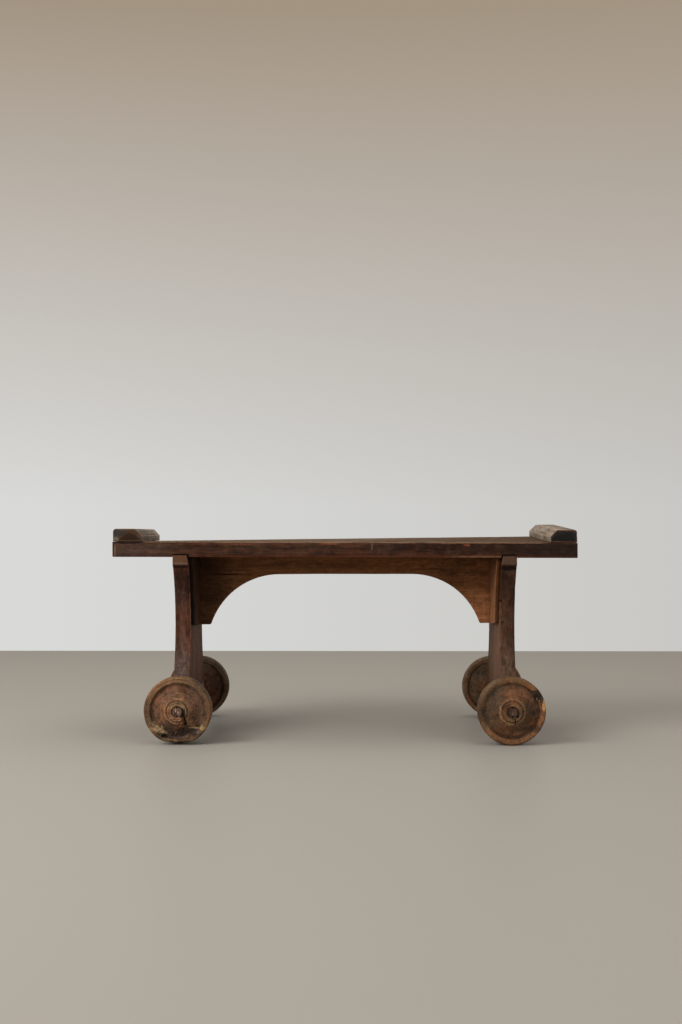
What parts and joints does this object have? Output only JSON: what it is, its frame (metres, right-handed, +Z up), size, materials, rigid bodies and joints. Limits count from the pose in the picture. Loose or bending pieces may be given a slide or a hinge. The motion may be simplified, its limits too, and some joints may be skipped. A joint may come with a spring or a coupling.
{
  "type": "plant pot caddy",
  "caption": "Low wheeled plant stand: a thick plank with raised end cleats on waisted slab legs, an arched apron between them and turned wooden wheels on pegged axles.",
  "frame": {"origin": "on the ground under the wheels, at the middle of the stand's length and depth", "axes": "+X along the board's length to the right, +Y to the back along the axles, +Z up"},
  "size_m": [0.9, 0.424, 0.41],
  "materials": {
    "board_wood": "old dark stain, worn pale on the arrises",
    "cleat_wood": "weathered grey, dark on the end grain",
    "leg_wood": "old reddish stain, worn",
    "backing_wood": "old dark stain",
    "apron_wood": "old golden brown oil",
    "wheel_wood": "turned end grain, worn and checked",
    "axle_wood": "dry, worn",
    "peg_wood": "dry",
    "wedge_wood": "dry, paler than the axle",
    "nail_iron": "dark, lightly rusted"
  },
  "bodies": {
    "stand": {"top_board": "board_wood", "cleat_left": "cleat_wood", "cleat_nails_left": "nail_iron", "leg_left": "leg_wood", "backing_left": "backing_wood", "backing_nails_left": "nail_iron", "cleat_right": "cleat_wood", "cleat_nails_right": "nail_iron", "leg_right": "leg_wood", "backing_right": "backing_wood", "backing_nails_right": "nail_iron", "apron": "apron_wood", "axle_left": "axle_wood", "axle_pegs_left": "peg_wood", "wedge_front_left": "wedge_wood", "wedge_rear_left": "wedge_wood", "axle_right": "axle_wood", "axle_pegs_right": "peg_wood", "wedge_front_right": "wedge_wood", "wedge_rear_right": "wedge_wood"},
    "front_left_wheel": {"wheel_front_left": "wheel_wood"},
    "front_right_wheel": {"wheel_front_right": "wheel_wood"},
    "rear_left_wheel": {"wheel_rear_left": "wheel_wood"},
    "rear_right_wheel": {"wheel_rear_right": "wheel_wood"}
  },
  "joints": [
    {"name": "front_left_roll", "type": "hinge", "parent": "stand", "child": "front_left_wheel", "pos_m": [-0.3175, -0.183, 0.065], "axis": [0, 1, 0], "continuous": true},
    {"name": "front_right_roll", "type": "hinge", "parent": "stand", "child": "front_right_wheel", "pos_m": [0.3175, -0.183, 0.065], "axis": [0, 1, 0], "continuous": true},
    {"name": "rear_left_roll", "type": "hinge", "parent": "stand", "child": "rear_left_wheel", "pos_m": [-0.3175, 0.183, 0.065], "axis": [0, 1, 0], "continuous": true},
    {"name": "rear_right_roll", "type": "hinge", "parent": "stand", "child": "rear_right_wheel", "pos_m": [0.3175, 0.183, 0.065], "axis": [0, 1, 0], "continuous": true}
  ]
}
